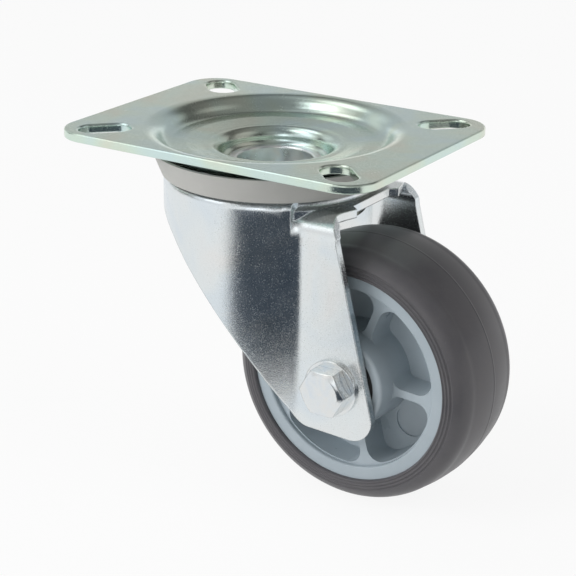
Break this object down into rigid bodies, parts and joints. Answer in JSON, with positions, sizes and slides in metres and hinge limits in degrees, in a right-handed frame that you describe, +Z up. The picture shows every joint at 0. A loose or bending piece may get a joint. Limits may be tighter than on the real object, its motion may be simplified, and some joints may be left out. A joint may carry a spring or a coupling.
{
  "type": "swivel castor",
  "caption": "Swivel castor with a slotted rectangular top plate, a pressed steel fork on ball races and a spoked plastic wheel with a soft tread.",
  "frame": {"origin": "centre of the plate's top face, on the swivel axis", "axes": "+Z up, out of the plate's top face; +X along the plate's long side, towards the side the wheel trails to; +Y along the axle, towards the nut"},
  "size_m": [0.1278, 0.08, 0.1065],
  "materials": {
    "zinc_plate": "satin zinc plating",
    "zinc_fork": "bright zinc plating",
    "zinc_fastener": "bright zinc plating",
    "bearing_steel": "polished",
    "seal_plastic": "matte",
    "nylon": "matte",
    "cage_plastic": "matte",
    "rim_plastic": "moulded satin",
    "tread": "satin"
  },
  "bodies": {
    "mounting": {"top_plate": "zinc_plate", "king_pin": "zinc_plate", "lower_race": "zinc_plate"},
    "upper_ring": {"upper_balls": "bearing_steel"},
    "lower_ring": {"lower_balls": "bearing_steel"},
    "swivel_fork": {"fork": "zinc_fork", "dust_seal": "seal_plastic", "axle_bolt": "zinc_fastener", "head_washer": "zinc_fastener", "nut_washer": "zinc_fastener", "lock_nut": "zinc_fastener", "nut_insert": "nylon", "axle_tube": "zinc_fastener"},
    "roller_bearing": {"rollers": "bearing_steel", "roller_cage": "cage_plastic"},
    "wheel": {"wheel_rim": "rim_plastic", "tyre": "tread", "near_cap": "cage_plastic", "far_cap": "cage_plastic"}
  },
  "joints": [
    {"name": "swivel", "type": "hinge", "parent": "mounting", "child": "swivel_fork", "pos_m": [0, 0, 0], "axis": [0, 0, 1], "continuous": true},
    {"name": "wheel_spin", "type": "hinge", "parent": "swivel_fork", "child": "wheel", "pos_m": [0.0353, 0, -0.0665], "axis": [0, 1, 0], "continuous": true},
    {"name": "upper_ring_orbit", "type": "hinge", "parent": "mounting", "child": "upper_ring", "pos_m": [0, 0, 0], "axis": [0, 0, 1], "continuous": true},
    {"name": "lower_ring_orbit", "type": "hinge", "parent": "mounting", "child": "lower_ring", "pos_m": [0, 0, 0], "axis": [0, 0, 1], "continuous": true},
    {"name": "roller_orbit", "type": "hinge", "parent": "swivel_fork", "child": "roller_bearing", "pos_m": [0.0353, 0, -0.0665], "axis": [0, 1, 0], "continuous": true}
  ],
  "couplings": [
    {"joint": "upper_ring_orbit", "follows": "swivel", "ratio": 0.5},
    {"joint": "lower_ring_orbit", "follows": "swivel", "ratio": 0.5},
    {"joint": "roller_orbit", "follows": "wheel_spin", "ratio": 0.602}
  ]
}
